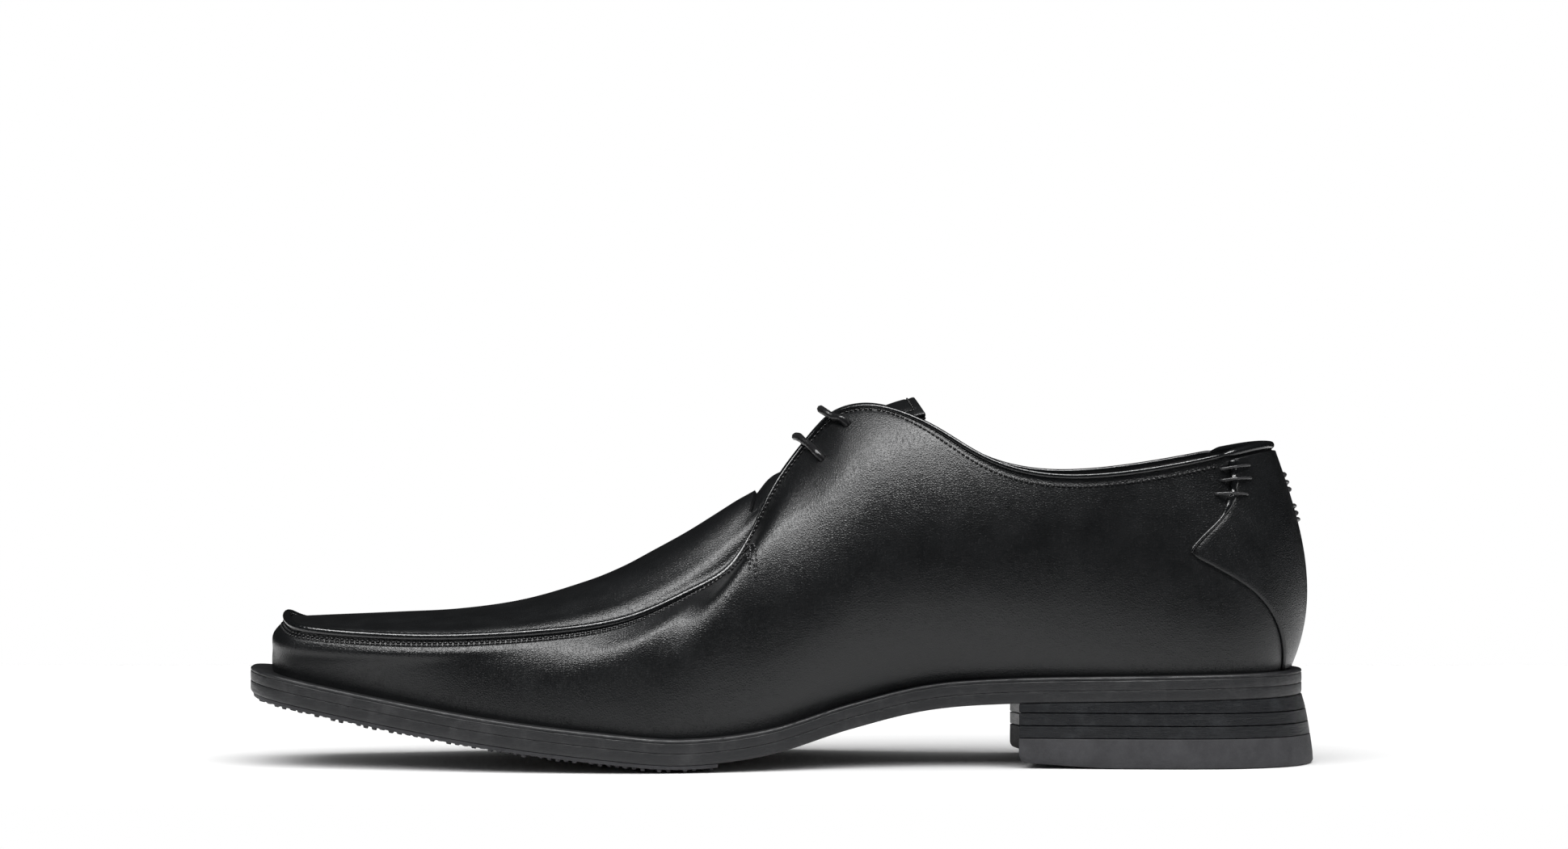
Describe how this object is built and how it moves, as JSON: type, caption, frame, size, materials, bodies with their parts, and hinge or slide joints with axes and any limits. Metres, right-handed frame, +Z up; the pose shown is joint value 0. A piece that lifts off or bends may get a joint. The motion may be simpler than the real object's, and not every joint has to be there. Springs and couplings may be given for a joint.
{
  "type": "leather derby shoe",
  "caption": "Black leather derby dress shoe, right foot, square toe with raised apron seam, open lacing, stacked heel and studded half sole.",
  "frame": {"origin": "on the ground, at the middle of the flat part of the heel's bottom", "axes": "+X from toe to heel, +Z up, -Y the inner side of the foot"},
  "size_m": [0.3148, 0.1027, 0.1082],
  "materials": {
    "upper_leather": "smooth black calf, semi-gloss",
    "lining": "matt black lining leather",
    "board": "undyed fibre and leather board",
    "sole_edge": "black waxed sole leather",
    "heel_stack": "black waxed leather lifts",
    "rubber": "matt black rubber",
    "cork": "ground cork",
    "steel": "plain steel",
    "lace": "waxed round cotton lace",
    "aglet": "black plastic tip"
  },
  "bodies": {
    "shoe": {"welt": "sole_edge", "outsole": "sole_edge", "forefoot_tread": "rubber", "cork_filler": "cork", "shank": "steel", "insole_board": "board", "sock_liner": "lining", "heel_top_piece": "rubber", "heel_lift_1": "heel_stack", "heel_lift_2": "heel_stack", "heel_lift_3": "heel_stack", "heel_nail_1": "steel", "heel_nail_2": "steel", "heel_nail_3": "steel", "heel_nail_4": "steel", "heel_nail_5": "steel", "side_wall": "upper_leather", "quarter_lining": "lining", "heel_counter": "board", "toe_puff": "board", "heel_overlay": "upper_leather", "apron_seam": "upper_leather", "topline_binding_inner": "upper_leather", "topline_binding_outer": "upper_leather", "heel_tab": "upper_leather", "apron": "upper_leather", "apron_lining": "lining", "lace": "lace", "aglet_1": "aglet", "aglet_2": "aglet"},
    "tongue": {"tongue": "upper_leather", "tongue_lining": "lining"}
  },
  "joints": [
    {"name": "tongue_fold", "type": "hinge", "parent": "shoe", "child": "tongue", "pos_m": [-0.1232, 0, 0.0757], "axis": [0, 1, 0], "range_deg": [0, 11], "stiffness_Nm_per_rad": 0.2, "springref_deg": -5.73}
  ]
}
